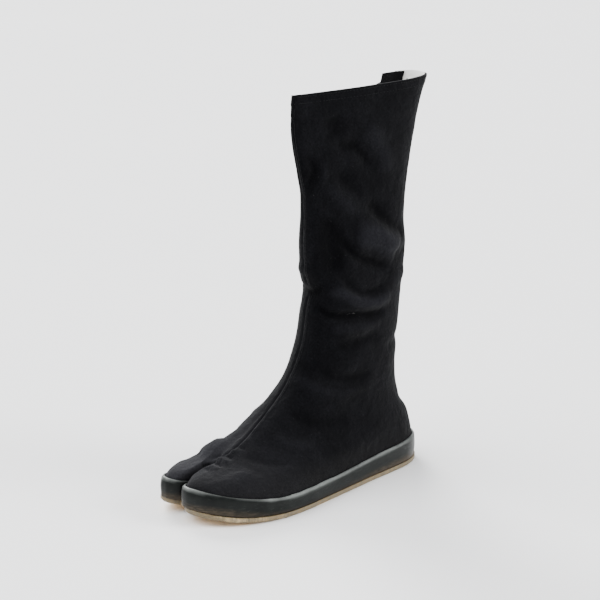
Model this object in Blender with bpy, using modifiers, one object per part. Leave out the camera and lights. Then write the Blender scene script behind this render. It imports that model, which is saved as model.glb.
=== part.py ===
"""A tall left jika tabi: split-toe cloth boot on a ribbed rubber sole, fastened up the inner back by hooked clasps.

Metres. The toe points along -Y, the outer side of the foot is +X, and +Z is up.
The origin is on the floor, under the middle of the heel.
"""
import bisect
import math

import bmesh
import bpy
from mathutils import Vector

# Sole
SOLE_LENGTH = 0.272
BALL_WIDTH = 0.106
HEEL_CENTRE = 0.0373
TOE_SPRING = 0.009
SPRING_START = 0.195
EDGE_HEIGHT = 0.0045
EDGE_ROUND = 0.0012
SOLE_THICKNESS = 0.0080
CLEFT_WIDTH = 0.0110
CLEFT_DEPTH = 0.0415
CLEFT_INWARD = 0.0070

# Tread
RIB_PITCH = 0.0076
RIB_GROOVE = 0.0042
RIB_DEPTH = 0.0016
FINE_PITCH = 0.0034
FINE_GROOVE = 0.0016
FINE_DEPTH = 0.0008
TREAD_RIM = 0.0030
FORE_GROOVES = 12
HEEL_GROOVES_BEHIND = 4
HEEL_GROOVES_AHEAD = 5
FINE_GROOVES = 3

# Cloth, rubber band and insole
CLOTH = 0.0018
BAND = 0.0024
BAND_HEIGHT = 0.0255
BAND_SETBACK = 0.0006
BAND_CLEAR = 0.00045
BAND_BEVEL = 0.0016
BAND_LEDGE = 0.0010
CLEFT_BAND_FOOT = 0.0015
INSOLE = 0.0030
FIT = 0.0003
LAP_CLEAR = 0.0005
INSTEP_HEIGHT = 0.090
COLLAR_HEIGHT = 0.362
SHAFT_DEPTH = 0.1525
ANKLE_WIDTH = 0.060
RIDGE_INWARD = 0.002
COLLAR_RISE_BACK = 0.006
COLLAR_SAG_INNER = 0.013
SAG_TOWARDS_BACK = 1.6

# Opening on the inner back
OPENING_SWING = 0.62
OPENING_WIDTH = 0.0030
OPENING_FOOT = 0.052
FLAP_LIFT = 0.0015
LAP_CLOTH = 0.0012
LAP_AHEAD = 0.37
LAP_BEHIND = 0.18
CLASPS = 12
CLASP_REACH = 0.0115
CLASP_WIDTH = 0.0095
CLASP_THICKNESS = 0.0008
CLASP_CLEAR = 0.0006
CLASP_COLUMNS = 7
CLASP_MARGIN = 0.014
# Outline of a clasp: distance across in shares of its width, and how far it reaches in shares of its reach.
CLASP_SHAPE = ((-0.50, 0.84), (-0.30, 0.96), (0.0, 1.00), (0.30, 0.96), (0.50, 0.84))

CLOTH_INSET = BAND_SETBACK + BAND + BAND_CLEAR
SEAT = SOLE_THICKNESS + FIT

# Sole edge: share of the length from the heel, then how far each edge lies from the axis in shares of the ball width.
SOLE_EDGE = (
    # along, inner, outer
    (0.017, 0.160, 0.130),
    (0.052, 0.247, 0.220),
    (0.105, 0.290, 0.286),
    (0.206, 0.296, 0.336),
    (0.310, 0.284, 0.379),
    (0.415, 0.280, 0.432),
    (0.520, 0.306, 0.482),
    (0.624, 0.366, 0.532),
    (0.735, 0.428, 0.554),
    (0.845, 0.449, 0.505),
    (0.915, 0.425, 0.425),
    (0.965, 0.360, 0.318),
)
# Toe tips, from the side edge round to the cleft: share of the length, then of the ball width.
BIG_TOE_TIP = ((0.988, -0.300), (0.996, -0.232), (0.985, -0.160))
SMALL_TOE_TIP = ((0.990, 0.215), (1.000, 0.115), (0.990, 0.032))

# Top edge of the rubber band: share of the length from the heel, and share of its height at the heel.
BAND_TOP = ((0.00, 1.000), (0.20, 0.922), (0.45, 0.784), (0.70, 0.745), (0.88, 0.843), (1.00, 0.922))

BAND_LOWEST_TOP = BAND_HEIGHT * min(row[1] for row in BAND_TOP)

# Cloth over the foot. Heights are shares of the instep's height above the sole. "heel", "big", "small" and "cleft" are
# how far the heel, the toe tips and the cleft's end lie inside the sole's outline, in shares of its length. "toes" and
# "sides" are the share of the sole's own width kept over the toes and beside the foot, and "facing" is the share kept
# where the two toe pockets face each other over the cleft. "half" and "ridge" are the oval's half width and its front's
# distance from the axis in shares of the ball width, and "round" goes from the sole's outline, 0, to that oval, 1.
FOOT_ROWS = (
    # rise,  heel,   big,    small,  cleft, toes, facing, sides, half,  ridge,  middle, round
    (0.000, 0.000, 0.000, 0.000, 0.000, 1.00, 1.00, 1.000, 0.450, -0.060, 0.060, 0.00),
    (0.055, -0.002, -0.002, -0.002, 0.000, 1.00, 1.00, 1.008, 0.450, -0.060, 0.060, 0.00),
    (0.110, -0.002, -0.001, -0.001, 0.000, 0.99, 1.00, 1.008, 0.450, -0.060, 0.060, 0.00),
    (0.190, -0.001, 0.006, 0.008, 0.001, 0.96, 1.00, 0.990, 0.430, -0.060, 0.060, 0.00),
    (0.240, 0.000, 0.018, 0.024, 0.003, 0.92, 1.05, 0.965, 0.415, -0.060, 0.060, 0.03),
    (0.285, 0.002, 0.038, 0.046, 0.006, 0.87, 1.09, 0.940, 0.400, -0.060, 0.060, 0.12),
    (0.330, 0.005, 0.078, 0.084, 0.012, 0.82, 1.07, 0.910, 0.382, -0.064, 0.056, 0.30),
    (0.390, 0.010, 0.133, 0.137, 0.021, 0.77, 0.96, 0.870, 0.360, -0.070, 0.048, 0.55),
    (0.460, 0.018, 0.176, 0.179, 0.042, 0.73, 0.82, 0.820, 0.338, -0.076, 0.038, 0.82),
    (0.550, 0.032, 0.222, 0.226, 0.086, 0.70, 0.72, 0.780, 0.318, -0.076, 0.026, 1.00),
    (0.670, 0.056, 0.283, 0.287, 0.147, 0.70, 0.70, 0.750, 0.302, -0.066, 0.012, 1.00),
    (0.800, 0.078, 0.349, 0.353, 0.213, 0.70, 0.70, 0.750, 0.292, -0.050, 0.004, 1.00),
)
# Cloth of the shaft. Heights are shares of the way from instep to collar, "back" and "front" are distances behind
# and ahead of the heel's centre in shares of the shaft's depth, "half" is half the width in shares of the ankle's,
# and "pinch" is the share of that width which the front loses.
SHAFT_ROWS = (
    # rise,  back,   front, half,  pinch
    (0.000, 0.066, 0.760, 0.500, 0.00),
    (0.055, 0.062, 0.690, 0.495, 0.00),
    (0.128, 0.072, 0.625, 0.495, 0.02),
    (0.206, 0.085, 0.592, 0.500, 0.06),
    (0.280, 0.097, 0.588, 0.505, 0.10),
    (0.327, 0.108, 0.552, 0.500, 0.14),
    (0.380, 0.122, 0.590, 0.510, 0.18),
    (0.455, 0.142, 0.605, 0.530, 0.24),
    (0.529, 0.112, 0.608, 0.520, 0.30),
    (0.600, 0.124, 0.600, 0.510, 0.38),
    (0.680, 0.150, 0.612, 0.500, 0.48),
    (0.774, 0.184, 0.660, 0.490, 0.60),
    (0.892, 0.228, 0.700, 0.500, 0.72),
    (1.000, 0.298, 0.684, 0.520, 0.80),
)

CURVE_STEPS = 12
SIDE_COLUMNS = 28
COLUMN_CROWDING = 0.085
CLEFT_COLUMNS = 5
CLEFT_SWING = 0.15
CORNER_SWING = 0.30
OVAL_POWER = 2.4
DRAW_START = 0.62
TOES_START = 0.74
TOES_FULL = 0.93
BIG_TOE_MIDDLE = -0.262
SMALL_TOE_MIDDLE = 0.215


def smooth_value(rows, at, column):
    """Value of one column of a table whose first column rises, smooth and without overshoot between its rows."""
    last = len(rows) - 1
    k = min(max(bisect.bisect_right([row[0] for row in rows], at) - 1, 0), last - 1)

    def slope(i):
        before, after = max(i - 1, 0), min(i + 1, last)
        left = (rows[i][column] - rows[before][column]) / (rows[i][0] - rows[before][0]) if i > 0 else 0
        right = (rows[after][column] - rows[i][column]) / (rows[after][0] - rows[i][0]) if i < last else 0
        if i in (0, last):
            return left + right
        return 0 if left * right <= 0 else 2 * left * right / (left + right)

    step = rows[k + 1][0] - rows[k][0]
    t = min(max((at - rows[k][0]) / step, 0), 1)
    t2, t3 = t * t, t * t * t
    return (
        (2 * t3 - 3 * t2 + 1) * rows[k][column]
        + (t3 - 2 * t2 + t) * step * slope(k)
        + (3 * t2 - 2 * t3) * rows[k + 1][column]
        + (t3 - t2) * step * slope(k + 1)
    )


def curve_through(points):
    """Fine points of a smooth open curve through the given ones."""
    points = [Vector(p) for p in points]
    ends = [2 * points[0] - points[1], *points, 2 * points[-1] - points[-2]]
    fine = []
    for a, b, c, d in zip(ends, ends[1:], ends[2:], ends[3:]):
        for k in range(CURVE_STEPS):
            t = k / CURVE_STEPS
            fine.append(
                0.5 * (2 * b + (c - a) * t + (2 * a - 5 * b + 4 * c - d) * t**2 + (3 * b - a - 3 * c + d) * t**3)
            )
    return fine + [points[-1]]


def lengths_along(points):
    """Length along the line at each of its points."""
    along = [0.0]
    for a, b in zip(points, points[1:]):
        along.append(along[-1] + (b - a).length)
    return along


def point_at(points, along, distance):
    """Point of the line at this length along it."""
    k = min(max(bisect.bisect_right(along, distance) - 1, 0), len(points) - 2)
    return points[k].lerp(points[k + 1], (distance - along[k]) / (along[k + 1] - along[k]))


def side_line(side):
    """Edge of the sole from the heel's end to the cleft, on the inner (-1) or outer (1) side: (forward, outward)."""
    column = 1 if side < 0 else 2
    tip = BIG_TOE_TIP if side < 0 else SMALL_TOE_TIP
    wall = side * CLEFT_WIDTH / 2 - CLEFT_INWARD
    # The line begins one point before the heel's end, on the other side, so that it passes the end smoothly.
    points = [(SOLE_EDGE[0][0] * SOLE_LENGTH, -side * SOLE_EDGE[0][3 - column] * BALL_WIDTH), (0.0, 0.0)]
    points += [(row[0] * SOLE_LENGTH, side * row[column] * BALL_WIDTH) for row in SOLE_EDGE]
    points += [(along * SOLE_LENGTH, out * BALL_WIDTH) for along, out in tip]
    points.append((tip[-1][0] * SOLE_LENGTH - CLEFT_WIDTH * 0.6, wall))
    return curve_through(points)[CURVE_STEPS:]


def side_samples(side):
    """Columns of one side as (forward, outward, swing), where swing goes from 0 at the heel to pi at the cleft."""
    line = side_line(side)
    along = lengths_along(line)
    whole = along[-1]
    swings = []
    for k in range(SIDE_COLUMNS + 1):
        share = k / SIDE_COLUMNS
        swings.append((share - COLUMN_CROWDING * math.sin(2 * math.pi * share)) * (math.pi - CLEFT_SWING))
    if side < 0:
        half = OPENING_WIDTH / 2 / whole * (math.pi - CLEFT_SWING)
        swings = [s for s in swings if abs(s - OPENING_SWING) > 4 * half]
        swings = sorted(swings + [OPENING_SWING - half, OPENING_SWING + half])
    return [(*point_at(line, along, swing / (math.pi - CLEFT_SWING) * whole), swing) for swing in swings]


def cleft_samples(side):
    """Columns down one side of the cleft, from the toe's corner to just short of its end."""
    corner = side_line(side)[-1]
    end = SOLE_LENGTH - CLEFT_DEPTH
    radius = CLEFT_WIDTH / 2
    straight = [(corner[0] + (end + radius - corner[0]) * k / 2, corner[1]) for k in (1, 2)]
    arc = []
    for k in (1, 2):
        angle = math.pi / 2 * k / 3
        arc.append((end + radius * (1 - math.sin(angle)), side * radius * math.cos(angle) - CLEFT_INWARD))
    samples = []
    for k, point in enumerate(straight + arc):
        samples.append((*point, math.pi - CLEFT_SWING * (1 - (k + 1) / CLEFT_COLUMNS)))
    return samples


def sole_columns():
    """All columns round the sole, counterclockwise from the heel seen from above: (forward, outward, turn)."""
    outer = side_samples(1) + cleft_samples(1)
    inner = side_samples(-1) + cleft_samples(-1)
    end = (SOLE_LENGTH - CLEFT_DEPTH, -CLEFT_INWARD, math.pi)
    columns = [(f, o, swing) for f, o, swing in outer]
    columns.append(end)
    columns += [(f, o, 2 * math.pi - swing) for f, o, swing in reversed(inner[1:])]
    return columns


def shifted(loop, distance):
    """The closed loop of (forward, outward) points moved outwards, all by one distance or each by its own."""
    distances = distance if isinstance(distance, list) else [distance] * len(loop)
    count = len(loop)
    return [shifted_point((loop[k - 1], loop[k], loop[(k + 1) % count]), distances[k]) for k in range(count)]


def shifted_point(three, distance):
    """The middle one of three neighbouring points of a loop, moved outwards."""
    before, point, after = (Vector(p) for p in three)
    a, b = (point - before).normalized(), (after - point).normalized()
    normal = Vector((-(a.y + b.y), a.x + b.x)).normalized()
    stretch = 1 / max(normal.dot(Vector((-a.y, a.x))), 0.5)
    return tuple(point + normal * distance * stretch)


def in_cleft(turn):
    """1 in the cleft, falling to 0 round the corners of the toe tips."""
    share = min(max((abs(turn - math.pi) - CLEFT_SWING) / CORNER_SWING, 0), 1)
    return 1 - share * share * (3 - 2 * share)


COLUMNS = sole_columns()
SOLE_LOOP = [(f, o) for f, o, turn in COLUMNS]
CLOTH_LOOP = shifted(SOLE_LOOP, [-CLOTH_INSET * (1 - in_cleft(turn)) for f, o, turn in COLUMNS])
BIG_TIP = max(point[0] for point, column in zip(CLOTH_LOOP, COLUMNS) if column[2] > math.pi)
SMALL_TIP = max(point[0] for point, column in zip(CLOTH_LOOP, COLUMNS) if column[2] < math.pi)
CLEFT_END = SOLE_LENGTH - CLEFT_DEPTH
CLOTH_HEEL = min(f for f, o in CLOTH_LOOP)


def lift(forward):
    """How far the toe spring raises the shoe at this distance from the heel's end."""
    return TOE_SPRING * max(0, (forward - SPRING_START) / (SOLE_LENGTH - SPRING_START)) ** 2


def place(forward, outward, height):
    """Point of the part, from distances along the shoe, outwards, and above its own sprung sole."""
    return Vector((outward, HEEL_CENTRE - forward, height + lift(forward)))


def oval(back, front, half, ridge, middle, pinch, turn):
    """Point of the round section at this turn: an oval whose front lies on the ridge line and whose middle is moved."""
    c, s = math.cos(turn), math.sin(turn)
    forward = (back + front) / 2 - (front - back) / 2 * math.copysign(abs(c) ** (2 / OVAL_POWER), c)
    fullness = 1 - pinch * (1 - ((1 + c) / 2) ** 1.2)
    width = half * fullness * math.copysign(abs(s) ** (2 / OVAL_POWER), s)
    return forward, width + ridge * (1 - c) / 2 + middle * s * s


def foot_point(k, row):
    """Cloth over the foot at column k, for one row of its table: (forward, outward)."""
    _, heel, big, small, cleft, toes, facing, sides, half, ridge, middle, roundness = row
    base_forward, base_out = CLOTH_LOOP[k]
    turn = COLUMNS[k][2]
    inner = turn > math.pi
    tip = BIG_TIP if inner else SMALL_TIP
    draw = (big if inner else small) * SOLE_LENGTH
    cleft_draw = cleft * SOLE_LENGTH
    notch = max(0, 1 - abs(turn - math.pi) / CLEFT_SWING)
    # The sole's own outline, drawn back at toes and cleft and in towards the middle of each toe pocket.
    if notch > 0:
        ahead = (base_forward - CLEFT_END) / (tip - CLEFT_END)
        forward = base_forward - draw * ahead - cleft_draw * (1 - ahead)
    elif base_forward > DRAW_START * SOLE_LENGTH:
        share = (base_forward - DRAW_START * SOLE_LENGTH) / (tip - DRAW_START * SOLE_LENGTH)
        forward = base_forward - draw * share
    else:
        share = (DRAW_START * SOLE_LENGTH - base_forward) / (DRAW_START * SOLE_LENGTH - CLOTH_HEEL)
        forward = base_forward + heel * SOLE_LENGTH * share
    pocket = (BIG_TOE_MIDDLE if inner else SMALL_TOE_MIDDLE) * BALL_WIDTH
    start = CLEFT_END if notch > 0 else TOES_START * SOLE_LENGTH
    share = min(max((base_forward - start) / (TOES_FULL * SOLE_LENGTH - start), 0), 1)
    wide = base_out * sides
    narrow = pocket + (base_out - pocket) * (facing if (base_out < pocket) != inner else toes)
    outward = wide + (narrow - wide) * share * share * (3 - 2 * share)
    # The oval, with the cleft as a notch in its front.
    front = tip - draw - (tip - draw - CLEFT_END + cleft_draw) * notch
    oval_forward, oval_out = oval(
        CLOTH_HEEL + heel * SOLE_LENGTH, front, half * BALL_WIDTH, ridge * BALL_WIDTH, middle * BALL_WIDTH, 0, turn
    )
    return forward + (oval_forward - forward) * roundness, outward + (oval_out - outward) * roundness


def shaft_point(k, row):
    """Cloth of the shaft at column k, for one row of its table: (forward, outward)."""
    _, back, front, half, pinch = row
    return oval(
        HEEL_CENTRE - back * SHAFT_DEPTH,
        HEEL_CENTRE + front * SHAFT_DEPTH,
        half * ANKLE_WIDTH,
        -RIDGE_INWARD,
        0,
        pinch,
        COLUMNS[k][2],
    )


CLOTH_HEIGHTS = [SEAT + row[0] * (INSTEP_HEIGHT - SEAT) for row in FOOT_ROWS]
CLOTH_HEIGHTS += [INSTEP_HEIGHT + row[0] * (COLLAR_HEIGHT - INSTEP_HEIGHT) for row in SHAFT_ROWS]
CLOTH_ROWS = [[foot_point(k, row) for k in range(len(COLUMNS))] for row in FOOT_ROWS]
CLOTH_ROWS += [[shaft_point(k, row) for k in range(len(COLUMNS))] for row in SHAFT_ROWS]


def cloth_point(k, height):
    """Outer face of the cloth at column k and this height above the sole's underside: (forward, outward)."""
    row = min(max(bisect.bisect_right(CLOTH_HEIGHTS, height) - 1, 0), len(CLOTH_HEIGHTS) - 2)
    low, high = CLOTH_HEIGHTS[row], CLOTH_HEIGHTS[row + 1]
    share = min(max((height - low) / (high - low), 0), 1)
    return tuple(Vector(CLOTH_ROWS[row][k]).lerp(Vector(CLOTH_ROWS[row + 1][k]), share))


def cloth_place(k, height, outset=0.0, sagging=True):
    """Point of the part on the cloth at column k, moved outwards. The collar leans and its inner side sags."""
    count = len(COLUMNS)
    forward, outward = shifted_point([cloth_point(n % count, height) for n in (k - 1, k, k + 1)], outset)
    share = max(0, (height - INSTEP_HEIGHT) / (COLLAR_HEIGHT - INSTEP_HEIGHT))
    lean = COLLAR_RISE_BACK * share**2 * (HEEL_CENTRE - forward) / SHAFT_DEPTH
    past_front = (COLUMNS[k][2] - math.pi) / (math.pi - OPENING_SWING)
    sag = 0
    if sagging and 0 < past_front < 1:
        sag = COLLAR_SAG_INNER * share**4 * math.sin(math.pi * past_front**SAG_TOWARDS_BACK)
    return place(forward, outward, height + lean - sag)


def new_object(name, bm, collection, material=None):
    """Object of this bmesh, in the collection."""
    bmesh.ops.recalc_face_normals(bm, faces=bm.faces)
    mesh = bpy.data.meshes.new(name)
    bm.to_mesh(mesh)
    bm.free()
    obj = bpy.data.objects.new(name, mesh)
    collection.objects.link(obj)
    if material:
        mesh.materials.append(material)
    return obj


def loft(bm, rings, closed=True):
    """Faces between one ring of points and the next, and the rings' vertices."""
    rows = [[bm.verts.new(point) for point in ring] for ring in rings]
    for low, high in zip(rows, rows[1:]):
        for k in range(len(low) if closed else len(low) - 1):
            n = (k + 1) % len(low)
            bm.faces.new((low[k], low[n], high[n], high[k]))
    return rows


def surface_material(name, colour, roughness, metallic=0.0):
    """Principled material of one colour."""
    material = bpy.data.materials.new(name)
    material.use_nodes = True
    shader = material.node_tree.nodes["Principled BSDF"]
    shader.inputs["Base Color"].default_value = (*colour, 1)
    shader.inputs["Roughness"].default_value = roughness
    shader.inputs["Metallic"].default_value = metallic
    material.diffuse_color = (*colour, 1)
    return material


def slot_prism(bm, forward, width, depth, inner, outer):
    """Cutter of one tread groove across the sole, wider at the floor."""
    below = 0.001
    half_floor, half_roof = width / 2 * (1 + 0.35 * below / depth), width / 2 * 0.65
    corners = []
    for half, height in ((half_floor, -below), (half_roof, depth)):
        corners.append([(forward - half, inner, height), (forward - half, outer, height),
                        (forward + half, outer, height), (forward + half, inner, height)])
    rows = [[bm.verts.new((out, HEEL_CENTRE - f, z)) for f, out, z in ring] for ring in corners]
    bm.faces.new(rows[0])
    bm.faces.new(rows[1][::-1])
    for k in range(4):
        n = (k + 1) % 4
        bm.faces.new((rows[0][k], rows[1][k], rows[1][n], rows[0][n]))


def edge_at(forward, side):
    """How far the sole's edge lies from the axis at this distance from the heel's end."""
    line = side_line(side)
    for a, b in zip(line, line[1:]):
        if a.x <= forward <= b.x:
            return a.lerp(b, (forward - a.x) / (b.x - a.x)).y
    return line[-1].y


def tread_grooves():
    """(forward, width, depth) of every groove. A rib is left under the heel's centre."""
    grooves = []
    for k in range(-HEEL_GROOVES_BEHIND, HEEL_GROOVES_AHEAD):
        grooves.append((HEEL_CENTRE + (k + 0.5) * RIB_PITCH, RIB_GROOVE, RIB_DEPTH))
    ahead = HEEL_CENTRE + (HEEL_GROOVES_AHEAD - 0.5) * RIB_PITCH + RIB_GROOVE / 2
    for k in range(1, FINE_GROOVES + 1):
        grooves.append((ahead + k * FINE_PITCH, FINE_GROOVE, FINE_DEPTH))
    front = SOLE_LENGTH - CLEFT_DEPTH - TREAD_RIM - RIB_GROOVE
    for k in range(FORE_GROOVES):
        grooves.append((front - k * RIB_PITCH, RIB_GROOVE, RIB_DEPTH))
    behind = front - (FORE_GROOVES - 1) * RIB_PITCH - RIB_GROOVE / 2
    for k in range(1, FINE_GROOVES + 1):
        grooves.append((behind - k * FINE_PITCH, FINE_GROOVE, FINE_DEPTH))
    return grooves


def build_outsole(collection, helpers, material):
    """Flat plate with the sole's true edge, a step inside the band, ribs below and the toe spring bent in."""
    step = shifted(CLOTH_LOOP, -FIT)
    rounded = shifted(SOLE_LOOP, -EDGE_ROUND)
    rings = []
    for loop, height in ((rounded, 0), (SOLE_LOOP, EDGE_ROUND), (SOLE_LOOP, EDGE_HEIGHT),
                         (step, EDGE_HEIGHT), (step, SOLE_THICKNESS)):
        rings.append([(out, HEEL_CENTRE - f, height) for f, out in loop])
    bm = bmesh.new()
    rows = loft(bm, rings)
    bm.faces.new(rows[0][::-1])
    bm.faces.new(rows[-1])
    plate = new_object("outsole", bm, collection, material)

    cutters = bmesh.new()
    for forward, width, depth in tread_grooves():
        reach = width / 2 + 0.001
        inner = max(edge_at(forward - reach, -1), edge_at(forward + reach, -1)) + TREAD_RIM
        outer = min(edge_at(forward - reach, 1), edge_at(forward + reach, 1)) - TREAD_RIM
        slot_prism(cutters, forward, width, depth, inner, outer)
    cutter = new_object("tread_cutter", cutters, helpers)
    cutter.hide_render = True
    cutter.display_type = "WIRE"
    cut = plate.modifiers.new("tread", "BOOLEAN")
    cut.operation = "DIFFERENCE"
    cut.object = cutter

    graph = bpy.context.evaluated_depsgraph_get()
    flat = bpy.data.meshes.new_from_object(plate.evaluated_get(graph))
    plate.modifiers.clear()
    bm = bmesh.new()
    bm.from_mesh(flat)
    bend_steps = 6
    for k in range(bend_steps):
        forward = SPRING_START + (SOLE_LENGTH - SPRING_START) * k / bend_steps
        bmesh.ops.bisect_plane(
            bm, geom=bm.verts[:] + bm.edges[:] + bm.faces[:], dist=1e-6,
            plane_co=(0, HEEL_CENTRE - forward, 0), plane_no=(0, 1, 0),
        )
    bmesh.ops.triangulate(bm, faces=bm.faces)
    for vert in bm.verts:
        vert.co.z += lift(HEEL_CENTRE - vert.co.y)
    bm.to_mesh(plate.data)
    bm.free()
    return plate


def build_insole(collection, material):
    """Flat sock board that lies on the sole inside the cloth."""
    loop = shifted(CLOTH_LOOP, -(CLOTH + FIT))
    bm = bmesh.new()
    rings = [[place(f, out, z) for f, out in loop] for z in (SEAT, SEAT + INSOLE)]
    rows = loft(bm, rings)
    bm.faces.new(rows[0][::-1])
    bm.faces.new(rows[1])
    bend_steps = 6
    for k in range(bend_steps):
        forward = SPRING_START + (SOLE_LENGTH - SPRING_START) * k / bend_steps
        bmesh.ops.bisect_plane(
            bm, geom=bm.verts[:] + bm.edges[:] + bm.faces[:], dist=1e-6,
            plane_co=(0, HEEL_CENTRE - forward, 0), plane_no=(0, 1, 0),
        )
    bmesh.ops.triangulate(bm, faces=bm.faces)
    return new_object("insole", bm, collection, material)


def band_section(k):
    """Section of the rubber band at column k, its top edge bevelled: pairs of outset from the cloth and height."""
    forward, _, turn = COLUMNS[k]
    top = BAND_HEIGHT * smooth_value(BAND_TOP, forward / SOLE_LENGTH, 1)
    foot = CLEFT_BAND_FOOT if abs(turn - math.pi) < CLEFT_SWING * 0.7 else EDGE_HEIGHT + FIT
    rows = [height for height in CLOTH_HEIGHTS if height < BAND_LOWEST_TOP - BAND_BEVEL]
    near, far = BAND_CLEAR, BAND_CLEAR + BAND
    section = [(near, foot), (far, foot)] + [(far, height) for height in rows]
    section += [(far, top - BAND_BEVEL), (far - BAND_LEDGE, top), (near, top), (near, top - BAND_BEVEL)]
    return section + [(near, height) for height in reversed(rows)]


def build_band(collection, material):
    """Rubber band round the foot of the cloth, down both sides of the cleft too."""
    count = len(COLUMNS)
    sections = [band_section(k) for k in range(count)]
    rings = []
    for spot in range(len(sections[0])):
        ring = []
        for k in range(count):
            outset, height = sections[k][spot]
            three = [cloth_point(n % count, height) for n in (k - 1, k, k + 1)]
            ring.append(place(*shifted_point(three, outset), height))
        rings.append(ring)
    bm = bmesh.new()
    rows = loft(bm, rings)
    for k in range(count):
        n = (k + 1) % count
        bm.faces.new((rows[-1][k], rows[-1][n], rows[0][n], rows[0][k]))
    bmesh.ops.triangulate(bm, faces=bm.faces)
    return new_object("foxing", bm, collection, material)


def opening_columns():
    """The two columns at the edges of the opening: (behind it, ahead of it)."""
    turn = 2 * math.pi - OPENING_SWING
    nearest = sorted(range(len(COLUMNS)), key=lambda k: abs(COLUMNS[k][2] - turn))[:2]
    return max(nearest), min(nearest)


def build_upper(collection, material):
    """One hollow wall of cloth from the sole to the collar, open down the inner back."""
    opening_rows = [height for height in CLOTH_HEIGHTS if height > OPENING_FOOT]
    behind, ahead = opening_columns()
    rings = []
    for height in CLOTH_HEIGHTS:
        ring = [cloth_place(k, height) for k in range(len(COLUMNS))]
        if height in opening_rows:
            ring[ahead] = cloth_place(ahead, height, FLAP_LIFT)
        rings.append(ring)
    bm = bmesh.new()
    rows = loft(bm, rings)
    first = len(CLOTH_HEIGHTS) - len(opening_rows)
    gap = []
    for low, high in zip(rows[first:], rows[first + 1:]):
        corners = {low[behind], low[ahead], high[behind], high[ahead]}
        gap += [face for face in low[behind].link_faces if set(face.verts) == corners]
    bmesh.ops.delete(bm, geom=gap, context="FACES_ONLY")
    upper = new_object("upper", bm, collection, material)
    wall = upper.modifiers.new("cloth", "SOLIDIFY")
    wall.thickness = CLOTH
    wall.offset = -1
    wall.use_even_offset = True
    wall.thickness_clamp = 0
    return upper


def shell(bm, near_rings, far_rings):
    """Closed strip between two open grids of points of the same size."""
    near = [[bm.verts.new(point) for point in ring] for ring in near_rings]
    far = [[bm.verts.new(point) for point in ring] for ring in far_rings]
    last_row, last = len(near) - 1, len(near[0]) - 1
    for r in range(last_row):
        for k in range(last):
            bm.faces.new((near[r][k], near[r][k + 1], near[r + 1][k + 1], near[r + 1][k]))
            bm.faces.new((far[r][k], far[r + 1][k], far[r + 1][k + 1], far[r][k + 1]))
        for k in (0, last):
            bm.faces.new((near[r][k], near[r + 1][k], far[r + 1][k], far[r][k]))
    for r in (0, last_row):
        for k in range(last):
            bm.faces.new((near[r][k], far[r][k], far[r][k + 1], near[r][k + 1]))
    bmesh.ops.triangulate(bm, faces=bm.faces)


def column_at(swing):
    """Where this swing on the inner side lies among the columns: a whole number, or a share between two of them."""
    turns = [turn for _, _, turn in COLUMNS] + [2 * math.pi]
    turn = 2 * math.pi - swing
    k = bisect.bisect_right(turns, turn) - 1
    return k + (turn - turns[k]) / (turns[k + 1] - turns[k])


def lap_point(position, height, outset):
    """Point of the lap under the cloth, between two columns where the position is no whole number."""
    k = math.floor(position)
    ends = [cloth_place(n % len(COLUMNS), height, outset, sagging=False) for n in (k, k + 1)]
    return ends[0].lerp(ends[1], position - k)


def build_underlap(collection, material):
    """Strip of cloth behind the opening, which the clasps' loops are sewn to. It stands higher than the sagging flap."""
    first, last = column_at(OPENING_SWING + LAP_AHEAD), column_at(OPENING_SWING - LAP_BEHIND)
    columns = [first, *[k for k in range(len(COLUMNS)) if first + 0.15 < k < last - 0.15], last]
    heights = [height for height in CLOTH_HEIGHTS if height > OPENING_FOOT]
    grids = []
    for outset in (-CLOTH - LAP_CLEAR, -CLOTH - LAP_CLEAR - LAP_CLOTH):
        grids.append([[lap_point(k, height, outset) for k in columns] for height in heights])
    bm = bmesh.new()
    shell(bm, *grids)
    return new_object("underlap", bm, collection, material)


def build_clasp(name, height, collection, material):
    """Curved metal tongue that leaves the flap's edge and lies over the cloth behind the opening."""
    _, ahead = opening_columns()
    count = len(COLUMNS)
    shortest = CLASP_REACH * min(reach for _, reach in CLASP_SHAPE) - CLASP_CLEAR
    corners = 0
    grids = []
    for outset in (CLASP_CLEAR, CLASP_CLEAR + CLASP_THICKNESS):
        grid = []
        for across, reach in CLASP_SHAPE:
            level = height + across * CLASP_WIDTH
            line = [cloth_place(k % count, level, outset) for k in range(ahead, ahead + CLASP_COLUMNS)]
            along = lengths_along(line)
            corners = corners or sum(1 for distance in along[1:] if distance < shortest)
            stations = [OPENING_WIDTH / 4, *along[1:corners + 1], CLASP_REACH * reach]
            grid.append([point_at(line, along, distance) for distance in stations])
        grids.append(grid)
    bm = bmesh.new()
    shell(bm, *grids)
    return new_object(name, bm, collection, material)


def build_all():
    for obj in list(bpy.data.objects):
        bpy.data.objects.remove(obj)
    parts = bpy.data.collections.new("jika_tabi")
    helpers = bpy.data.collections.new("cutters")
    bpy.context.scene.collection.children.link(parts)
    bpy.context.scene.collection.children.link(helpers)
    gum = surface_material("gum_rubber", (0.62, 0.40, 0.17), 0.6)
    black_rubber = surface_material("black_rubber", (0.02, 0.02, 0.022), 0.45)
    black_cloth = surface_material("black_cloth", (0.012, 0.012, 0.014), 0.9)
    sock_cloth = surface_material("insole_cloth", (0.6, 0.58, 0.52), 0.9)
    brass = surface_material("brass", (0.75, 0.60, 0.32), 0.3, metallic=1.0)
    build_outsole(parts, helpers, gum)
    build_insole(parts, sock_cloth)
    build_band(parts, black_rubber)
    build_upper(parts, black_cloth)
    build_underlap(parts, black_cloth)
    low, high = OPENING_FOOT + CLASP_MARGIN, COLLAR_HEIGHT - CLASP_MARGIN
    for k in range(CLASPS):
        build_clasp(f"clasp_{k + 1:02d}", low + (high - low) * k / (CLASPS - 1), parts, brass)


build_all()
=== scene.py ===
import math

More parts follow.
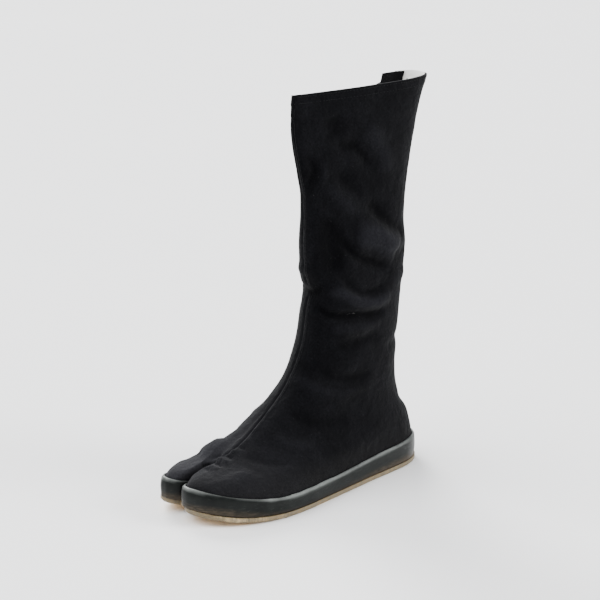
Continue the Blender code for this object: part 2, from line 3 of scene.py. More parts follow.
import bmesh
import bpy
import numpy as np
from mathutils import Matrix, Vector, noise
from mathutils.bvhtree import BVHTree


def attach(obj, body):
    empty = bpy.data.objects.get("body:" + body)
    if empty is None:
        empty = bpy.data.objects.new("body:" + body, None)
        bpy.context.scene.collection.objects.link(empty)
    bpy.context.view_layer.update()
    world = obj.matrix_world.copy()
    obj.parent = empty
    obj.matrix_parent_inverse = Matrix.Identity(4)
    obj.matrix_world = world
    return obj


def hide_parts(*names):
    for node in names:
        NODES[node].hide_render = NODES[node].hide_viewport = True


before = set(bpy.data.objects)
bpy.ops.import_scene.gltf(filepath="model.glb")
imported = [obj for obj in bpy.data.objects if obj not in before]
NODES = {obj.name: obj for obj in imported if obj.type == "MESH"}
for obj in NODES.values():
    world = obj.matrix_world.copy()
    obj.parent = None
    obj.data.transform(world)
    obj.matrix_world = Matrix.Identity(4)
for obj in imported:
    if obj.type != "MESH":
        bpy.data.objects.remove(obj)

MM = 0.001
CLASPS = sorted(name for name in NODES if name.startswith("clasp_"))
BRASS_CLASPS = ["brass_" + name for name in CLASPS]
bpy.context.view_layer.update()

# Folds pressed into the cloth, in millimetres. Each has its height (a ridge) or depth (a trough, negative), its half
# width, and its line as points: side of the foot (1 outer, -1 inner), distance ahead of the heel's middle, and height.
FOLDS = (
    # Shaft, outer side, from the collar down
    (-2.6, 4.6, ((1, 66, 312), (1, 56, 310), (1, 48, 309), (1, 42, 303), (1, 38, 298), (1, 33, 289))),
    (2.0, 11.0, ((1, 38, 324), (1, 26, 314), (1, 18, 298), (1, 14, 280))),
    (-1.4, 3.6, ((1, 94, 304), (1, 90, 297), (1, 87, 291), (1, 90, 283), (1, 92, 278), (1, 88, 271))),
    (1.1, 5.0, ((1, 80, 300), (1, 78, 288), (1, 82, 276))),
    (-2.0, 10.0, ((1, 70, 338), (1, 66, 322), (1, 64, 318))),
    (-1.8, 8.0, ((1, 68, 288), (1, 56, 275), (1, 42, 264))),
    (1.7, 8.5, ((1, 78, 276), (1, 62, 261), (1, 50, 250))),
    (-3.0, 6.5, ((1, 38, 258), (1, 30, 250), (1, 21, 241), (1, 11, 233), (1, 0, 227), (1, -8, 222))),
    (4.2, 12.5, ((1, 54, 228), (1, 40, 228), (1, 26, 224), (1, 12, 217), (1, 2, 210))),
    (-3.6, 4.6, ((1, 68, 228), (1, 61, 220), (1, 54, 213), (1, 46, 208), (1, 38, 205), (1, 28, 201), (1, 16, 197))),
    (-3.0, 11.0, ((1, 76, 250), (1, 76, 228), (1, 73, 208), (1, 68, 198))),
    (3.4, 6.5, ((1, 83, 184), (1, 75, 182), (1, 65, 178), (1, 55, 171), (1, 43, 167), (1, 29, 166), (1, 12, 170))),
    (-2.2, 3.0, ((1, 66, 190), (1, 56, 181), (1, 49, 177), (1, 40, 176), (1, 30, 176), (1, 20, 180))),
    (-3.2, 4.0, ((1, 86, 168), (1, 80, 160), (1, 70, 158), (1, 60, 158), (1, 48, 157), (1, 34, 155), (1, 20, 157))),
    (1.8, 7.0, ((1, 80, 148), (1, 62, 145), (1, 42, 145), (1, 26, 148))),
    (-1.5, 6.0, ((1, 78, 131), (1, 62, 131), (1, 44, 134), (1, 28, 140))),
    # Round the front of the ankle
    (-2.0, 4.5, ((1, 70, 190), (1, 80, 184), (1, 85, 179), (-1, 85, 179), (-1, 80, 181), (-1, 70, 186))),
    (1.2, 5.0, ((1, 84, 196), (1, 88, 199), (-1, 88, 199), (-1, 80, 198))),
    # Instep, vamp and sides of the foot
    (-1.8, 6.0, ((1, 96, 112), (1, 80, 104), (1, 60, 99), (1, 38, 101))),
    (1.6, 7.0, ((1, 108, 102), (1, 92, 92), (1, 72, 87), (1, 48, 89))),
    (-1.5, 6.0, ((1, 124, 76), (1, 108, 67), (1, 90, 63), (1, 66, 64))),
    (1.3, 7.0, ((1, 146, 58), (1, 128, 51), (1, 108, 48))),
    (-1.1, 5.0, ((1, 174, 46), (1, 158, 42), (1, 142, 41))),
    (1.4, 9.0, ((1, 214, 33), (1, 196, 37), (1, 178, 40))),
    (-1.4, 5.0, ((-1, 118, 80), (-1, 102, 70), (-1, 84, 66))),
    (1.4, 6.5, ((-1, 132, 70), (-1, 116, 60), (-1, 98, 56))),
    (3.8, 10.0, ((-1, 168, 52), (-1, 178, 47), (-1, 188, 41))),
    (-1.6, 5.0, ((-1, 150, 60), (-1, 156, 50), (-1, 160, 40))),
    (1.8, 8.0, ((-1, 222, 30), (-1, 212, 33), (-1, 202, 35))),
    # Shaft, inner side
    (-2.2, 6.0, ((-1, 76, 306), (-1, 60, 300), (-1, 42, 303), (-1, 26, 310))),
    (1.8, 10.0, ((-1, 70, 286), (-1, 52, 278), (-1, 34, 282))),
    (-2.8, 5.0, ((-1, 80, 232), (-1, 68, 224), (-1, 52, 219), (-1, 36, 220), (-1, 24, 226))),
    (3.0, 10.0, ((-1, 74, 244), (-1, 58, 238), (-1, 40, 238))),
    (2.6, 7.0, ((-1, 82, 188), (-1, 68, 178), (-1, 50, 173), (-1, 30, 175))),
    (-2.6, 4.5, ((-1, 84, 168), (-1, 70, 161), (-1, 52, 158), (-1, 34, 160), (-1, 22, 166))),
    (-1.6, 6.0, ((-1, 80, 134), (-1, 62, 130), (-1, 44, 134))),
    # Behind the ankle
    (-1.6, 5.0, ((1, 12, 208), (1, -2, 206), (1, -12, 208))),
    (1.4, 6.0, ((1, 14, 186), (1, 0, 184), (1, -12, 187))),
    (-1.3, 5.0, ((1, 16, 120), (1, 2, 122), (1, -10, 128))),
    (-1.1, 5.0, ((1, -6, 66), (1, -20, 60), (1, -30, 60))),
)
# The two toe pockets press against each other over the cleft: height, half width, and points sideways, ahead, height.
TOE_PRESS = (
    (3.0, 6.0, ((-1, 228, 27), (0, 218, 31), (1, 208, 34), (1, 199, 36))),
    (2.4, 5.5, ((-14, 226, 27), (-14, 216, 31), (-13, 206, 34), (-12, 199, 36))),
)
# Puckers where the toe pockets are gathered into the front seam, in the same columns as TOE_PRESS.
PUCKERS = (
    (-1.4, 1.9, ((0, 204, 36), (6, 205, 36), (12, 208, 35))),
    (1.2, 2.1, ((-1, 199, 38), (5, 199, 38), (11, 201, 38))),
    (-1.5, 1.9, ((-2, 194, 40), (4, 193, 40), (10, 195, 40))),
    (1.3, 2.1, ((-2, 188, 42), (3, 187, 43), (9, 189, 42))),
    (-1.3, 1.9, ((-2, 183, 45), (3, 182, 45), (9, 182, 45))),
    (1.0, 2.2, ((-2, 177, 48), (3, 176, 48), (8, 175, 49))),
    (-0.9, 2.0, ((0, 171, 51), (5, 170, 52), (10, 168, 53))),
    (-1.2, 1.9, ((-13, 202, 36), (-9, 198, 37), (-5, 194, 38))),
    (1.1, 2.1, ((-14, 195, 38), (-9, 191, 40), (-5, 188, 42))),
    (-1.1, 1.9, ((-13, 188, 41), (-8, 184, 43), (-4, 182, 45))),
)
# Line of the front seam, from the end of the cleft up the instep and the front of the shaft: sideways, ahead, height.
FRONT_SEAM = (
    (-6, 194, 37), (-3, 187, 43), (0, 179, 47), (1, 170, 53), (1, 160, 59), (-1, 147, 67), (-3, 132, 77),
    (-3.5, 118, 88), (-3.5, 106, 102), (-3, 97, 120), (-2.5, 91, 142), (-2, 88, 165), (-2, 85, 180), (-2, 91, 200),
    (-2, 92, 225), (-2, 91, 250), (-2, 93, 275), (-2, 98, 300), (-2, 103, 330), (-2, 104, 357),
)
HEM_DEPTH = 9.0
# The folds stand this many times as high as their table says.
FOLD_STRENGTH = 1.3
# Longest edges of the upper's mesh, in millimetres: both sheets, the outer sheet, near its details, and finest.
BOTH_SHEETS, OUTER_SHEET, NEAR_DETAILS, FINEST = 6.0, 4.0, 2.1, 1.35
# How far the details reach from the seam, in metres, and how many of the seam's first points are gathered.
SEAM_REACH, LIPS_REACH, GATHERS_REACH, GATHERED_POINTS = 0.011, 0.0055, 0.017, 26
# Heights above which the cloth belongs to the hem and to the collar's rim, in metres.
HEM_FROM, RIM_FROM = 0.340, 0.342
# The sole's toe spring, in metres: how far it rises, from where ahead of the heel's end, and over what length.
TOE_RISE, TOE_RISE_FROM, TOE_RISE_LENGTH, HEEL_END = 0.009, 0.195, 0.077, 0.0373
# Colours of dirt and of worn places, some of them painted light: the toes' lighter grey is painted light, and the
# band's ledge colour is partly worn rubber and partly a painted highlight.
TOE_PAINTED_LIGHT_COTTON, FLOOR_DUST, LINT = (0.023, 0.023, 0.026), (0.07, 0.066, 0.06), (0.10, 0.10, 0.105)
LEDGE_WEAR_AND_HIGHLIGHT, BAND_MUD, SOLE_GRIME = (0.22, 0.235, 0.222), (0.085, 0.062, 0.040), (0.098, 0.080, 0.045)


def finish_named(name):
    """New material with its node tree and its shader."""
    made = bpy.data.materials.new(name)
    made.use_nodes = True
    tree = made.node_tree
    return made, tree, tree.nodes["Principled BSDF"]


def add(tree, kind, inputs=(), **settings):
    """New shader node with these settings, its inputs given as pairs of name and either a value or a socket."""
    made = tree.nodes.new("ShaderNode" + kind)
    for name, value in settings.items():
        setattr(made, name, value)
    for name, value in inputs:
        if isinstance(value, bpy.types.NodeSocket):
            tree.links.new(value, made.inputs[name])
        else:
            made.inputs[name].default_value = value
    return made


def place_on_piece(tree, attribute=None, stretch=(1, 1, 1)):
    """Where a point lies on the piece, in metres: as it stands, or as the cloth lay before it was folded."""
    if attribute:
        source = add(tree, "Attribute", attribute_name=attribute).outputs["Vector"]
    else:
        source = add(tree, "TexCoord").outputs["Object"]
    return add(tree, "Mapping", [("Vector", source), ("Scale", stretch)]).outputs[0]


def noise_of(tree, place, scale, detail=3.0, roughness=0.55, distortion=0.0):
    """Cloudy value from 0 to 1."""
    return add(tree, "TexNoise", [("Vector", place), ("Scale", scale), ("Detail", detail), ("Roughness", roughness),
                                  ("Distortion", distortion)]).outputs["Fac"]


def spread(tree, value, low, high, to_low=0.0, to_high=1.0):
    """The part of a value between low and high, stretched to a new range and clamped."""
    return add(tree, "MapRange", [("Value", value), ("From Min", low), ("From Max", high), ("To Min", to_low),
                                  ("To Max", to_high)]).outputs[0]


def maths(tree, operation, a, b=0.0):
    """Sum, product or other operation on two values."""
    return add(tree, "Math", [(0, a), (1, b)], operation=operation).outputs[0]


def blend(tree, share, a, b):
    """Colour between a and b."""
    made = add(tree, "Mix", data_type="RGBA")
    for socket, value in ((made.inputs[0], share), (made.inputs[6], a), (made.inputs[7], b)):
        if isinstance(value, bpy.types.NodeSocket):
            tree.links.new(value, socket)
        else:
            socket.default_value = value if isinstance(value, float) else (*value, 1)
    return made.outputs[2]


def raise_surface(tree, shader, height, distance, strength=1.0):
    """Bump of the shader's surface, with a height of 1 standing as many metres proud as the distance says."""
    bump = add(tree, "Bump", [("Height", height), ("Distance", distance), ("Strength", strength)])
    tree.links.new(bump.outputs[0], shader.inputs["Normal"])


def cotton(name, dark, worn, attribute, twill_pitch, dust_and_painted_light=True):
    """Cotton twill: slanting ribs, crossing yarns, nap and faded patches, and where asked also painted shade in the
    troughs of the folds, ridges paled partly by rubbing and partly as painted highlight, painted light on the toes and
    inner vamp, floor dust and lint.
    """
    made, tree, shader = finish_named(name)
    place = place_on_piece(tree, attribute)
    standing = place_on_piece(tree)
    ribs = add(tree, "TexWave", [("Vector", place), ("Scale", 0.628 / (twill_pitch * 1.414)), ("Distortion", 0.6),
                                 ("Detail", 1.0), ("Detail Scale", 2.0)], bands_direction="DIAGONAL").outputs["Fac"]
    yarns = add(tree, "TexWave", [("Vector", place), ("Scale", 0.628 / (twill_pitch * 0.62)), ("Distortion", 0.8)],
                bands_direction="Z").outputs["Fac"]
    nap = noise_of(tree, place, 1500.0, 4.0, 0.7)
    patches = noise_of(tree, place, 38.0, 4.0, 0.6, 0.4)
    streaks = noise_of(tree, place_on_piece(tree, attribute, (1, 1, 0.35)), 90.0, 3.0)
    lint = spread(tree, noise_of(tree, place, 520.0, 2.0, 0.8), 0.70, 0.78)
    weave = maths(tree, "ADD", maths(tree, "MULTIPLY", ribs, 0.12), maths(tree, "MULTIPLY", yarns, 0.07))
    crumple = noise_of(tree, place, 130.0, 2.0, 0.5, 0.3)
    height = maths(tree, "ADD", weave, maths(tree, "MULTIPLY", nap, 0.5))
    height = maths(tree, "ADD", height, maths(tree, "MULTIPLY", crumple, 5.0))
    raise_surface(tree, shader, height, 0.00026, 1.0)
    slubs = noise_of(tree, place, 620.0, 3.0, 0.75)
    fade = maths(tree, "MULTIPLY", spread(tree, patches, 0.34, 0.72, 0.25, 1.0),
                 spread(tree, streaks, 0.3, 0.7, 0.82, 1.0))
    fade = maths(tree, "MULTIPLY", fade, spread(tree, slubs, 0.36, 0.66, 0.15, 1.0))
    colour = blend(tree, fade, dark, worn)
    colour = blend(tree, maths(tree, "MULTIPLY", spread(tree, ribs, 0.2, 0.9), 0.18), colour, worn)
    if dust_and_painted_light:
        # The troughs of the folds are painted darker as shade. Their ridges are painted paler, partly as dye rubbed
        # pale and partly as painted highlight.
        fold = add(tree, "Attribute", attribute_name="fold_height").outputs["Fac"]
        colour = blend(tree, spread(tree, fold, -0.3, -2.6, 0.0, 0.85), colour, dark)
        rubbed = maths(tree, "MULTIPLY", spread(tree, fold, 0.7, 4.0), spread(tree, slubs, 0.3, 0.6, 0.4, 1.0))
        colour = blend(tree, maths(tree, "MULTIPLY", rubbed, 0.6), colour, tuple(c * 2.2 for c in worn))
        # The toes and the inner vamp are painted a lighter grey, as painted light falling on them.
        where = add(tree, "SeparateXYZ", [(0, standing)])
        low = where.outputs[2]
        inner = spread(tree, where.outputs[0], 0.012, -0.016, 0.25, 1.0)
        toe_painted_light = maths(tree, "MULTIPLY", spread(tree, where.outputs[1], -0.110, -0.190), inner)
        toe_painted_light = maths(tree, "MULTIPLY", toe_painted_light, spread(tree, slubs, 0.3, 0.65, 0.55, 1.0))
        colour = blend(tree, toe_painted_light, colour, TOE_PAINTED_LIGHT_COTTON)
        dust = maths(tree, "MULTIPLY", spread(tree, low, 0.040, 0.022), spread(tree, nap, 0.45, 0.75))
        colour = blend(tree, maths(tree, "MULTIPLY", dust, 0.25), colour, FLOOR_DUST)
        colour = blend(tree, maths(tree, "MULTIPLY", lint, 0.25), colour, LINT)
    tree.links.new(colour, shader.inputs["Base Color"])
    tree.links.new(spread(tree, nap, 0.3, 0.8, 0.78, 0.96), shader.inputs["Roughness"])
    shader.inputs["Specular IOR Level"].default_value = 0.03 if dust_and_painted_light else 0.3
    shader.inputs["Sheen Weight"].default_value = 0.05 if dust_and_painted_light else 0.2
    shader.inputs["Sheen Roughness"].default_value = 0.45
    return made


def band_rubber():
    """Black rubber, half glossy, made greyer by dust and scuffs, and paler along its upper edge, partly worn and
    partly a painted highlight.
    """
    made, tree, shader = finish_named("black_rubber_band")
    place = place_on_piece(tree)
    mottle = noise_of(tree, place, 55.0, 5.0, 0.6)
    grain = noise_of(tree, place, 900.0, 3.0, 0.6)
    scuffs = noise_of(tree, place_on_piece(tree, None, (1, 1, 5)), 90.0, 4.0, 0.65, 1.5)
    edge = add(tree, "Attribute", attribute_name="top_edge").outputs["Fac"]
    foot = add(tree, "Attribute", attribute_name="foot_edge").outputs["Fac"]
    colour = blend(tree, spread(tree, mottle, 0.35, 0.7), (0.0030, 0.0038, 0.0034), (0.0090, 0.0105, 0.0095))
    colour = blend(tree, maths(tree, "MULTIPLY", spread(tree, scuffs, 0.58, 0.74), 0.6), colour, (0.030, 0.033, 0.031))
    # The upper edge is painted paler: partly worn rubber, partly a painted highlight on the glossy ledge.
    ledge_wear_and_highlight = maths(tree, "MULTIPLY", edge, spread(tree, mottle, 0.3, 0.65, 0.35, 1.0))
    colour = blend(tree, maths(tree, "MULTIPLY", ledge_wear_and_highlight, 0.85), colour, LEDGE_WEAR_AND_HIGHLIGHT)
    dirt = maths(tree, "MULTIPLY", foot, spread(tree, scuffs, 0.35, 0.65, 0.2, 0.9))
    colour = blend(tree, maths(tree, "MULTIPLY", dirt, 0.7), colour, BAND_MUD)
    tree.links.new(colour, shader.inputs["Base Color"])
    dull = spread(tree, maths(tree, "ADD", mottle, maths(tree, "MULTIPLY", grain, 0.3)), 0.5, 0.9, 0.30, 0.55)
    tree.links.new(dull, shader.inputs["Roughness"])
    height = maths(tree, "ADD", maths(tree, "MULTIPLY", grain, 0.35), scuffs)
    raise_surface(tree, shader, height, 0.00025, 0.6)
    shader.inputs["Specular IOR Level"].default_value = 0.11
    return made


def gum_rubber(name, pale, deep, crepe=False):
    """Gum rubber of the sole: cloudy ochre, fine pits, floor dirt in the pores, wrinkled like crepe under the toes."""
    made, tree, shader = finish_named(name)
    place = place_on_piece(tree)
    cloud = noise_of(tree, place, 30.0, 4.0, 0.6)
    pits = noise_of(tree, place, 1100.0, 3.0, 0.7)
    grime = noise_of(tree, place_on_piece(tree, None, (1, 3, 1)), 70.0, 5.0, 0.7, 0.8)
    colour = blend(tree, spread(tree, cloud, 0.3, 0.7), pale, deep)
    colour = blend(tree, spread(tree, grime, 0.60, 0.85, 0.0, 0.4), colour, (0.30, 0.20, 0.10))
    colour = blend(tree, spread(tree, pits, 0.62, 0.80, 0.0, 0.35), colour, (0.25, 0.16, 0.07))
    height = maths(tree, "MULTIPLY", pits, 0.4)
    side = add(tree, "Attribute", attribute_name="sole_side").outputs["Fac"]
    soiled = maths(tree, "MULTIPLY", side, spread(tree, grime, 0.25, 0.65, 0.70, 1.0))
    colour = blend(tree, soiled, colour, SOLE_GRIME)
    if crepe:
        ahead = add(tree, "SeparateXYZ", [(0, place)]).outputs[1]
        toes = spread(tree, ahead, -0.178, -0.190)
        slanted = add(tree, "Mapping", [("Vector", place), ("Rotation", (0, 0, 0.65)),
                                        ("Scale", (1, 4.5, 1))]).outputs[0]
        waves = noise_of(tree, slanted, 95.0, 3.0, 0.55, 1.2)
        height = maths(tree, "ADD", height, maths(tree, "MULTIPLY", maths(tree, "MULTIPLY", waves, toes), 2.4))
        rubbed = maths(tree, "MULTIPLY", toes, spread(tree, waves, 0.45, 0.65))
        colour = blend(tree, maths(tree, "MULTIPLY", rubbed, 0.35), colour, (0.86, 0.66, 0.36))
    tree.links.new(colour, shader.inputs["Base Color"])
    tree.links.new(spread(tree, cloud, 0.3, 0.7, 0.45, 0.62), shader.inputs["Roughness"])
    raise_surface(tree, shader, height, 0.0003, 0.8)
    shader.inputs["Subsurface Weight"].default_value = 0.06
    shader.inputs["Subsurface Radius"].default_value = (0.004, 0.002, 0.001)
    return made


def brushed_brass():
    """Pressed brass of the clasps, tarnished in patches and rubbed bright, with fine scratches across."""
    made, tree, shader = finish_named("clasp_brass_rubbed")
    place = place_on_piece(tree)
    tarnish = noise_of(tree, place, 260.0, 4.0, 0.6)
    scratches = noise_of(tree, place_on_piece(tree, None, (1, 1, 9)), 900.0, 3.0, 0.6)
    colour = blend(tree, spread(tree, tarnish, 0.38, 0.68), (0.43, 0.265, 0.080), (0.22, 0.130, 0.040))
    tree.links.new(colour, shader.inputs["Base Color"])
    shader.inputs["Metallic"].default_value = 1.0
    dull = spread(tree, maths(tree, "ADD", tarnish, scratches), 0.7, 1.3, 0.22, 0.48)
    tree.links.new(dull, shader.inputs["Roughness"])
    raise_surface(tree, shader, scratches, 0.00004, 0.5)
    return made


def sewing_thread(name, colour):
    """Twisted cotton thread."""
    made, tree, shader = finish_named(name)
    place = place_on_piece(tree)
    twist = add(tree, "TexWave", [("Vector", place), ("Scale", 900.0), ("Distortion", 0.5)],
                bands_direction="DIAGONAL").outputs["Fac"]
    fuzz = noise_of(tree, place, 2200.0, 2.0)
    tree.links.new(blend(tree, twist, tuple(c * 0.6 for c in colour), colour), shader.inputs["Base Color"])
    tree.links.new(spread(tree, fuzz, 0.3, 0.7, 0.6, 0.8), shader.inputs["Roughness"])
    raise_surface(tree, shader, maths(tree, "ADD", twist, fuzz), 0.00008, 0.8)
    shader.inputs["Specular IOR Level"].default_value = 0.12
    return made


def pale_floor():
    """Matt pale paint, faintly cloudy."""
    made, tree, shader = finish_named("pale_floor_paint")
    cloud = noise_of(tree, place_on_piece(tree), 3.0, 2.0)
    tree.links.new(blend(tree, cloud, (0.86, 0.86, 0.86), (0.89, 0.89, 0.885)), shader.inputs["Base Color"])
    shader.inputs["Roughness"].default_value = 0.85
    return made


BLACK_COTTON = cotton("black_cotton_twill", (0.0005, 0.0005, 0.0008), (0.0056, 0.0056, 0.0069), "flat_cloth", 0.0007)
LAP_COTTON = cotton("black_cotton_lap", (0.0022, 0.0022, 0.0026), (0.006, 0.006, 0.007), None, 0.0009)
LINING = cotton("white_cotton_lining", (0.82, 0.81, 0.77), (0.90, 0.89, 0.87), "flat_cloth", 0.0008, dust_and_painted_light=False)
SOCK_COTTON = cotton("insole_cotton", (0.44, 0.41, 0.36), (0.64, 0.61, 0.55), None, 0.0012, dust_and_painted_light=False)
BAND_RUBBER = band_rubber()
SOLE_RUBBER = gum_rubber("gum_rubber_sole", (0.66, 0.43, 0.185), (0.53, 0.33, 0.125), crepe=True)
# The grooves get a darker gum as painted shade in the recesses between the ribs.
GROOVE_PAINTED_SHADE_RUBBER = gum_rubber("gum_rubber_groove_painted_shade", (0.42, 0.25, 0.085), (0.32, 0.18, 0.055))
BRASS = brushed_brass()
BLACK_THREAD = sewing_thread("black_sewing_thread", (0.0075, 0.0075, 0.0085))
LOOP_THREAD = sewing_thread("black_loop_thread", (0.020, 0.020, 0.022))


def merged(name):
    """Mesh of a CAD node with its loose triangles merged, and joined into quads where they lie flat enough."""
    bm = bmesh.new()
    bm.from_mesh(NODES[name].data)
    bmesh.ops.remove_doubles(bm, verts=bm.verts, dist=1e-6)
    bmesh.ops.join_triangles(bm, faces=bm.faces, angle_face_threshold=math.radians(60),
                             angle_shape_threshold=math.radians(60))
    for group in list(bm.loops.layers.uv):
        bm.loops.layers.uv.remove(group)
    return bm


def piece_from(bm, name, *materials, smooth=True):
    """New piece from a bmesh, riding with the shoe."""
    mesh = bpy.data.meshes.new(name)
    bm.to_mesh(mesh)
    bm.free()
    for material in materials:
        mesh.materials.append(material)
    mesh.polygons.foreach_set("use_smooth", [smooth] * len(mesh.polygons))
    made = bpy.data.objects.new(name, mesh)
    bpy.context.scene.collection.objects.link(made)
    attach(made, "root")
    return made


def rounded(bm, levels, corner=60, hold=1.0):
    """The mesh smoothed by subdivision, but holding its corners sharper than this angle."""
    crease = bm.edges.layers.float.new("crease_edge")
    for edge in bm.edges:
        if len(edge.link_faces) == 2 and edge.calc_face_angle() > math.radians(corner):
            edge[crease] = hold
    mesh = bpy.data.meshes.new("rough_form")
    bm.to_mesh(mesh)
    bm.free()
    rough = bpy.data.objects.new("rough_form", mesh)
    bpy.context.scene.collection.objects.link(rough)
    smooth = rough.modifiers.new("smooth", "SUBSURF")
    smooth.levels = smooth.render_levels = levels
    fine = bpy.data.meshes.new_from_object(rough.evaluated_get(bpy.context.evaluated_depsgraph_get()))
    bpy.data.objects.remove(rough)
    made = bmesh.new()
    made.from_mesh(fine)
    bpy.data.meshes.remove(fine)
    return made


def soften_corners(bm, size, corner=55, wanted=lambda edge: True):
    """Rounds the edges that are sharper than this angle by a small bevel."""
    edges = [edge for edge in bm.edges if len(edge.link_faces) == 2 and edge.calc_face_angle() > math.radians(corner)
             and wanted(edge)]
    bmesh.ops.bevel(bm, geom=edges, offset=size, offset_type="OFFSET", segments=2, profile=0.5, affect="EDGES",
                    material=-1, clamp_overlap=True)


def part_sheets(bm):
    """Marks the upper's faces by material index: 0 the outer sheet, 1 the inner sheet, 2 the cut edges of the wall."""
    groups, seen = [], set()
    for start in bm.faces:
        if start in seen:
            continue
        group, waiting = [], [start]
        seen.add(start)
        while waiting:
            face = waiting.pop()
            group.append(face)
            for edge in face.edges:
                if len(edge.link_faces) == 2 and edge.calc_face_angle() < math.radians(60):
                    for other in edge.link_faces:
                        if other not in seen:
                            seen.add(other)
                            waiting.append(other)
        groups.append(group)
    sheets = sorted(groups, key=len)[-2:]
    sheets.sort(key=lambda group: max(face.calc_center_median().x for face in group))
    inner, outer = (set(sheet) for sheet in sheets)
    for face in bm.faces:
        face.material_index = 0 if face in outer else 1 if face in inner else 2


def cut_long_edges(bm, longest, wanted):
    """Halves the edges longer than this that the test wants, so that folds and seams can be pressed in there."""
    edges = [edge for edge in bm.edges if edge.calc_length() > longest and wanted(edge)]
    bmesh.ops.subdivide_edges(bm, edges=edges, cuts=1, use_grid_fill=True, smooth=0.0)


def line_points(line, step=1.5):
    """Points every few millimetres along a line of points given in metres."""
    points = [line[0]]
    for a, b in zip(line, line[1:]):
        count = max(1, round((b - a).length / (step * MM)))
        points += [a.lerp(b, (k + 1) / count) for k in range(count)]
    return points


def tree_of(bm, wanted=lambda face: True):
    """Search tree over the wanted faces of a mesh."""
    bm.verts.index_update()
    return BVHTree.FromPolygons([v.co.copy() for v in bm.verts],
                                [[v.index for v in face.verts] for face in bm.faces if wanted(face)])


def shoe_point(sideways, ahead, height):
    """Point of the shoe from millimetres sideways, ahead of the heel's middle, and above the floor."""
    return Vector((sideways, -ahead, height)) * MM


def on_side(tree, side, ahead, height):
    """Point on the cloth that is seen from one side of the foot at this distance ahead of the heel and height."""
    start = Vector((side * 0.2, -ahead * MM, height * MM))
    found = tree.ray_cast(start, Vector((-side, 0, 0)))[0]
    return found or tree.find_nearest(Vector((0, start.y, start.z)))[0]


def near_share(points, line, width):
    """How far into a fold each point lies, 1 on its line and less over its width and towards its ends, and how far off
    its line."""
    line = np.array([tuple(point) for point in line])
    best, at = np.full(len(points), 1e9), np.zeros(len(points))
    for k, spot in enumerate(line):
        distance = ((points - spot) ** 2).sum(1)
        closer = distance < best
        best[closer], at[closer] = distance[closer], k / max(1, len(line) - 1)
    return np.exp(-best / width**2) * (1 - np.abs(2 * at - 1) ** 4 * 0.85), np.sqrt(best)


def fold_heights(tree, points, outward):
    """How far the folds raise each point of the cloth, in metres. outward is the cloth's outer direction there."""
    heights = np.zeros(len(points))
    for table, seen_from_side in ((FOLDS, True), (PUCKERS, False), (TOE_PRESS, False)):
        for height, width, line in table:
            spots = [on_side(tree, *spot) if seen_from_side else shoe_point(*spot) for spot in line]
            spots = [tree.find_nearest(point)[0] for point in line_points(spots)]
            facing = np.array([tuple(tree.find_nearest(spot)[1]) for spot in spots]).mean(0)
            share = near_share(points, spots, width * MM)[0]
            turned = np.clip(outward @ facing / max(np.linalg.norm(facing), 1e-6) * 1.5 + 0.5, 0, 1)
            heights += FOLD_STRENGTH * height * MM * share * turned
    rough = np.array([noise.noise(Vector(p) * 42) * 0.55 + noise.noise(Vector(p) * 95) * 0.22 for p in points])
    return heights + rough * MM


def band_top(ahead):
    """Height of the rubber band's upper edge at this distance ahead of the heel's middle, from the CAD node."""
    return np.interp(ahead, BAND_EDGE[0], BAND_EDGE[1])


def find_band_edge():
    """The rubber band's upper edge: distances ahead of the heel, and the highest point near each."""
    spots = [v.co for v in NODES["foxing"].data.vertices]
    marks = np.linspace(min(-p.y for p in spots), max(-p.y for p in spots), 24)
    tops = [max((p.z for p in spots if abs(-p.y - mark) < 0.012), default=0.025) for mark in marks]
    return marks, np.array(tops)


BAND_EDGE = find_band_edge()
upper_form = merged("upper")
part_sheets(upper_form)
upper_form = rounded(upper_form, 2)
RIM = []
OUTER_TREE = tree_of(upper_form, lambda face: face.material_index == 0)
seam_line = [shoe_point(*spot) for spot in FRONT_SEAM]
SEAM = [OUTER_TREE.find_nearest(point)[0] for point in line_points(seam_line)]


def outward_at(point):
    """The cloth's outer direction nearest a point."""
    return OUTER_TREE.find_nearest(point)[1]


def press_folds(bm):
    """Moves each vertex with the folds in the cloth nearest to it."""
    fold_height = bm.verts.layers.float.new("fold_height")
    verts = list(bm.verts)
    points = np.array([tuple(v.co) for v in verts])
    outward = np.array([tuple(outward_at(v.co)) for v in verts])
    heights = fold_heights(OUTER_TREE, points, outward)
    # The cloth stays as it is inside the rubber band.
    above = points[:, 2] - band_top(-points[:, 1])
    heights *= np.clip((above - 0.002) / 0.012, 0, 1)
    for vert, height, direction in zip(verts, heights, outward):
        vert.co += Vector(direction) * float(height)
        vert[fold_height] = float(height) / MM


